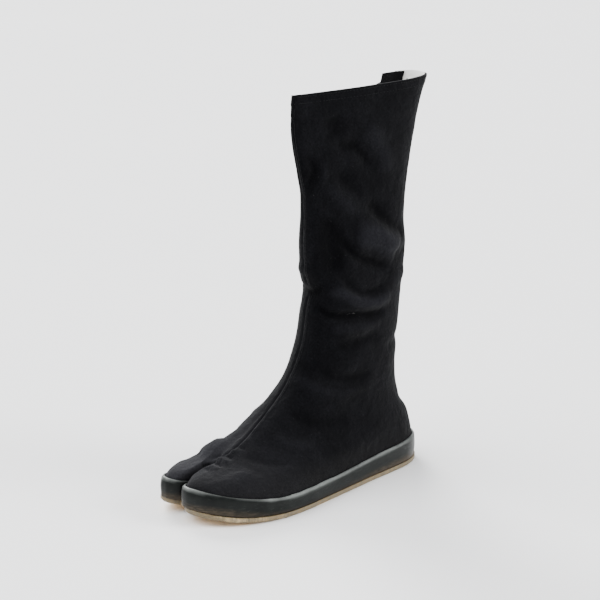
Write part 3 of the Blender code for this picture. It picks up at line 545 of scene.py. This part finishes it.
def build_upper():
    """Upper of black cotton with a white lining: folds, the front seam and a hem round the collar."""
    bm = upper_form
    seam_points = np.array([tuple(p) for p in SEAM])

    def near(edge, line, reach):
        middle = (edge.verts[0].co + edge.verts[1].co) / 2
        return ((line - np.array(middle)) ** 2).sum(1).min() < reach**2

    def near_seam(edge, reach):
        return near(edge, seam_points, reach)

    def near_gathers(edge):
        return near(edge, seam_points[:GATHERED_POINTS], GATHERS_REACH)

    def outer(edge):
        return any(face.material_index == 0 for face in edge.link_faces)

    def hemmed(edge):
        return edge.verts[0].co.z > HEM_FROM or edge.verts[1].co.z > HEM_FROM

    cut_long_edges(bm, BOTH_SHEETS * MM, lambda edge: True)
    cut_long_edges(bm, OUTER_SHEET * MM, outer)
    cut_long_edges(bm, NEAR_DETAILS * MM, lambda edge: outer(edge) and (near_seam(edge, SEAM_REACH) or hemmed(edge)))
    cut_long_edges(bm, NEAR_DETAILS * MM, lambda edge: outer(edge) and near_gathers(edge))
    cut_long_edges(bm, FINEST * MM, lambda edge: outer(edge) and (near_seam(edge, LIPS_REACH) or near_gathers(edge)))
    flat = bm.verts.layers.float_vector.new("flat_cloth")
    for vert in bm.verts:
        vert[flat] = vert.co
    press_folds(bm)
    rim = [v.co.copy() for v in bm.verts if v.co.z > RIM_FROM and {f.material_index for f in v.link_faces} == {0, 2}]
    rim_points = np.array([tuple(p) for p in rim])
    RIM.extend(sorted(rim, key=lambda p: math.atan2(p.x, p.y + 0.03)))
    verts = [v for v in bm.verts if any(f.material_index == 0 for f in v.link_faces)]
    points = np.array([tuple(v.co) for v in verts])
    distance = near_share(points, SEAM, 1.0)[1]
    # A groove between two soft lips, the outer lip standing higher, because it laps over the inner one.
    for vert, far in zip(verts, distance):
        if far < 0.009:
            across = (vert.co - min(SEAM, key=lambda p: (p - vert.co).length_squared)).x
            strong = min(max((0.115 - vert.co.z) / 0.05, 0.30), 1.0) * (1 + 0.8 * noise.noise(vert.co * 160))
            lip = strong * (0.0010 if across > 0 else 0.0005)
            groove = -0.0011 * max(strong, 0.25)
            shape = groove * math.exp(-((far / 0.0012) ** 2)) + lip * math.exp(-(((far - 0.0028) / 0.0020) ** 2))
            vert.co += outward_at(vert[flat]) * shape
    # The hem is a turned edge, so the cloth is thicker there.
    for vert in verts:
        if vert.co.z > HEM_FROM and rim:
            depth = float(np.sqrt(((rim_points - np.array(vert.co)) ** 2).sum(1).min()))
            step = 0.0005 / (1 + math.exp((depth - HEM_DEPTH * MM) / 0.0005))
            vert.co += outward_at(vert[flat]) * step
    for face in bm.faces:
        if face.material_index == 2:
            face.material_index = 0
    soften_corners(bm, 0.0004, wanted=lambda edge: max(v.co.z for v in edge.verts) > 0.045)
    made = piece_from(bm, "cloth_upper", BLACK_COTTON, LINING)
    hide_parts("upper")
    return made


def build_lap():
    """Flap of cotton behind the opening."""
    bm = rounded(merged("underlap"), 2)
    soften_corners(bm, 0.00035)
    press_folds(bm)
    made = piece_from(bm, "cloth_lap", LAP_COTTON)
    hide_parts("underlap")


def build_band():
    """Rubber band round the foot, its upper edge a little wavy, and marked for its paler colour, partly worn and
    partly a painted highlight.
    """
    bm = merged("foxing")
    edges = [edge for edge in bm.edges if edge.calc_length() > 4.5 * MM]
    bmesh.ops.subdivide_edges(bm, edges=edges, cuts=1, use_grid_fill=True)
    bm = rounded(bm, 1, corner=28, hold=0.75)
    top = bm.verts.layers.float.new("top_edge")
    foot = bm.verts.layers.float.new("foot_edge")
    for vert in bm.verts:
        edge = float(band_top(-vert.co.y))
        below = edge - vert.co.z
        vert[top] = min(max(1 - below / 0.0034, 0), 1)
        vert[foot] = min(max((below - 0.012) / 0.006, 0), 1)
        wave = noise.noise(vert.co * 60) * 0.0007 + noise.noise(vert.co * 150) * 0.0003
        vert.co.z += wave * vert[top]
        vert.co += vert.normal * noise.noise(vert.co * 45 + Vector((9, 4, 1))) * 0.00022
    made = piece_from(bm, "rubber_band", BAND_RUBBER)
    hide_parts("foxing")


def build_sole():
    """Gum rubber sole with its ribs, the grooves between them painted darker as shade."""
    bm = bmesh.new()
    bm.from_mesh(NODES["outsole"].data)
    bmesh.ops.remove_doubles(bm, verts=bm.verts, dist=1e-6)
    bmesh.ops.dissolve_limit(bm, angle_limit=math.radians(0.8), verts=bm.verts, edges=bm.edges)
    for face in bm.faces:
        spot = face.calc_center_median()
        flat = spot.z - TOE_RISE * max(0.0, (-spot.y + HEEL_END - TOE_RISE_FROM) / TOE_RISE_LENGTH) ** 2
        # Faces in the grooves take the darker gum, painted shade.
        face.material_index = 1 if face.normal.z < 0.2 and 0.0004 < flat < 0.0030 and inside_edge(spot) else 0
    sharp = [edge for edge in bm.edges if len(edge.link_faces) == 2 and edge.calc_face_angle() > math.radians(35)]
    bmesh.ops.bevel(bm, geom=sharp, offset=0.0003, offset_type="OFFSET", segments=2, profile=0.5, affect="EDGES",
                    material=-1, clamp_overlap=True)
    bmesh.ops.triangulate(bm, faces=bm.faces)
    bm.normal_update()
    side = bm.verts.layers.float.new("sole_side")
    for vert in bm.verts:
        vert[side] = 0.0 if vert.normal.z < -0.8 or inside_edge(vert.co) else 1.0
    made = piece_from(bm, "gum_sole", SOLE_RUBBER, GROOVE_PAINTED_SHADE_RUBBER)
    made.data.set_sharp_from_angle(angle=math.radians(32))
    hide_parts("outsole")


SOLE_RIM = [v.co.copy() for v in NODES["outsole"].data.vertices if 0.003 < v.co.z < 0.014]


def inside_edge(point):
    """Whether a point under the sole lies within its rim, where the grooves are."""
    return min((Vector((p.x - point.x, p.y - point.y))).length for p in SOLE_RIM) > 0.0018


def build_insole():
    """Sock board covered in cotton, trodden down a little under heel and ball, its edge rounded."""
    bm = merged("insole")
    edges = [edge for edge in bm.edges if edge.calc_length() > 9 * MM]
    bmesh.ops.subdivide_edges(bm, edges=edges, cuts=1, use_grid_fill=True)
    bm = rounded(bm, 2)
    soften_corners(bm, 0.0008)
    for vert in bm.verts:
        if vert.normal.z > 0.3:
            heel = math.exp(-((vert.co.x / 0.026) ** 2 + (vert.co.y / 0.034) ** 2))
            ball = math.exp(-(((vert.co.x - 0.004) / 0.034) ** 2 + ((vert.co.y + 0.150) / 0.030) ** 2))
            vert.co.z -= 0.0007 * max(heel, ball) + 0.0002 * (noise.noise(vert.co * 90) + 0.5)
    made = piece_from(bm, "cotton_insole", SOCK_COTTON)
    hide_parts("insole")


def build_clasps():
    """Pressed brass tongues with rounded edges."""
    for name in CLASPS:
        bm = merged(name)
        edges = [edge for edge in bm.edges if edge.calc_face_angle() > math.radians(40)]
        bmesh.ops.bevel(bm, geom=edges, offset=0.00022, offset_type="OFFSET", segments=2, profile=0.5,
                        affect="EDGES", material=-1, clamp_overlap=True)
        press_folds(bm)
        made = piece_from(bm, "brass_" + name, BRASS)
        made.data.set_sharp_from_angle(angle=math.radians(40))
        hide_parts(name)


def sew(bm, line, pitch, long, thick, tree):
    """Row of stitches along a line on the finished cloth, each a small grain lying in it."""
    spots = [tree.find_nearest(point)[0] for point in line_points(line, pitch)]
    for a, b in zip(spots, spots[1:]):
        if not 0.3 * pitch * MM < (b - a).length < 1.8 * pitch * MM:
            continue
        middle, up = tree.find_nearest((a + b) / 2)[:2]
        along = (b - a).normalized()
        side = up.cross(along).normalized()
        turn = Matrix((along, side, along.cross(side))).transposed().to_4x4()
        size = Matrix.Diagonal((long * MM / 2, thick * MM / 2, thick * MM / 2, 1))
        bmesh.ops.create_icosphere(bm, subdivisions=1, radius=1.0, matrix=Matrix.Translation(middle) @ turn @ size)


def beside(line, away):
    """The line moved across the cloth by this distance, in metres: to the left seen from outside if positive."""
    moved = []
    for a, b in zip(line, line[1:]):
        across = outward_at(a).cross(b - a)
        if across.length > 1e-7:
            moved.append(a + across.normalized() * away)
    return moved


def clasp_place(name):
    """Middle of a clasp, the direction in which it reaches, and the cloth's outer direction there."""
    spots = [v.co for v in bpy.data.objects[name].data.vertices]
    middle = sum(spots, Vector()) / len(spots)
    out = outward_at(middle).copy()
    out.z = 0
    out.normalize()
    reach = out.cross(Vector((0, 0, 1)))
    return middle, reach * (1 if reach.y + reach.x * 0.3 > 0 else -1), out


def build_stitches(upper):
    """Rows of black stitches beside the front seam, round the hem and along the edge of the flap."""
    mesh = upper.data
    folded = BVHTree.FromPolygons([v.co for v in mesh.vertices],
                                  [list(p.vertices) for p in mesh.polygons if p.material_index == 0])
    bm = bmesh.new()
    for away in (0.0036, -0.0036):
        sew(bm, beside(SEAM[2:-6], away), 2.6, 1.9, 0.5, folded)
    for depth in (0.0076, 0.0020):
        ring = [p - Vector((0, 0, depth)) for p in RIM[::2]]
        sew(bm, [p for k, p in enumerate(ring) if k == 0 or (p - ring[k - 1]).length < 0.02], 2.8, 2.0, 0.5, folded)
    edge = []
    for name in BRASS_CLASPS:
        middle, reach, out = clasp_place(name)
        edge.append(middle - reach * 0.0060)
    edge = [edge[0] - Vector((0, 0, 0.010)), *edge, edge[-1] + Vector((0, 0, 0.006))]
    for away in (0.0024, 0.0100):
        sew(bm, [p - clasp_place(BRASS_CLASPS[min(max(k - 1, 0), 11)])[1] * away for k, p in enumerate(edge)],
            2.6, 1.9, 0.5, folded)
    piece_from(bm, "cloth_stitches", BLACK_THREAD)


def build_loops():
    """Two rows of thread loops on the cloth behind the opening: one over each clasp, and a spare one behind it."""
    lines = bpy.data.curves.new("loop_lines", "CURVE")
    lines.dimensions, lines.bevel_depth, lines.bevel_resolution, lines.resolution_u = "3D", 0.00042, 2, 4
    for name in BRASS_CLASPS:
        middle, reach, out = clasp_place(name)
        for along, lift in ((0.0018, 0.0016), (0.0092, 0.0004)):
            spot = OUTER_TREE.find_nearest(middle + reach * along)[0]
            spline = lines.splines.new("NURBS")
            spline.points.add(6)
            spline.use_endpoint_u, spline.order_u = True, 4
            for k in range(7):
                across = (k - 3) / 3
                raised = -0.0004 + (lift + 0.0012) * (1 - across**4)
                point = spot + out * raised + Vector((0, 0, 0.0068)) * across
                spline.points[k].co = (*point, 1)
    rough = bpy.data.objects.new("loop_lines", lines)
    bpy.context.scene.collection.objects.link(rough)
    mesh = bpy.data.meshes.new_from_object(rough.evaluated_get(bpy.context.evaluated_depsgraph_get()))
    bpy.data.objects.remove(rough)
    bm = bmesh.new()
    bm.from_mesh(mesh)
    piece_from(bm, "clasp_loops", LOOP_THREAD)


def build_floor():
    """Plain floor, far wider than the view."""
    bm = bmesh.new()
    bmesh.ops.create_grid(bm, x_segments=8, y_segments=8, size=9.0)
    mesh = bpy.data.meshes.new("floor")
    bm.to_mesh(mesh)
    bm.free()
    mesh.materials.append(pale_floor())
    floor = bpy.data.objects.new("floor", mesh)
    bpy.context.scene.collection.objects.link(floor)


def soft_light(name, place, spread_angle, strength):
    """Wide soft light from far off, so that the floor is lit evenly."""
    lamp = bpy.data.lights.new(name, "SUN")
    lamp.angle, lamp.energy = math.radians(spread_angle), strength
    made = bpy.data.objects.new(name, lamp)
    made.location = place
    made.rotation_euler = (-Vector(place)).to_track_quat("-Z", "Y").to_euler()
    bpy.context.scene.collection.objects.link(made)


def build_studio():
    """Pale surroundings, a soft light above and two that graze the sides, as in a plain product photograph."""
    world = bpy.data.worlds.new("pale_studio")
    world.use_nodes = True
    world.node_tree.nodes["Background"].inputs[0].default_value = (0.93, 0.95, 1.0, 1)
    world.node_tree.nodes["Background"].inputs[1].default_value = 0.8
    bpy.context.scene.world = world
    soft_light("light_above", (-0.6, -1.0, 1.8), 60, 4.2)
    soft_light("light_inner_side", (-1.6, 0.5, 1.05), 30, 4.6)
    soft_light("light_outer_heel", (1.7, 1.7, 1.1), 30, 3.9)


def build_camera():
    """The photograph's viewing angle: from the outer side of the toe, 21 degrees above the floor."""
    lens = bpy.data.cameras.new("camera")
    lens.lens, lens.sensor_width = 117.7, 36.0
    camera = bpy.data.objects.new("camera", lens)
    camera.location = (1.2874, -1.1790, 0.6446)
    aim = Vector((0.0, -0.0975, 0.1735))
    camera.rotation_euler = (aim - camera.location).to_track_quat("-Z", "Y").to_euler()
    bpy.context.scene.collection.objects.link(camera)
    bpy.context.scene.camera = camera


upper = build_upper()
build_lap()
build_band()
build_sole()
build_insole()
build_clasps()
build_stitches(upper)
build_loops()
build_floor()
build_studio()
build_camera()
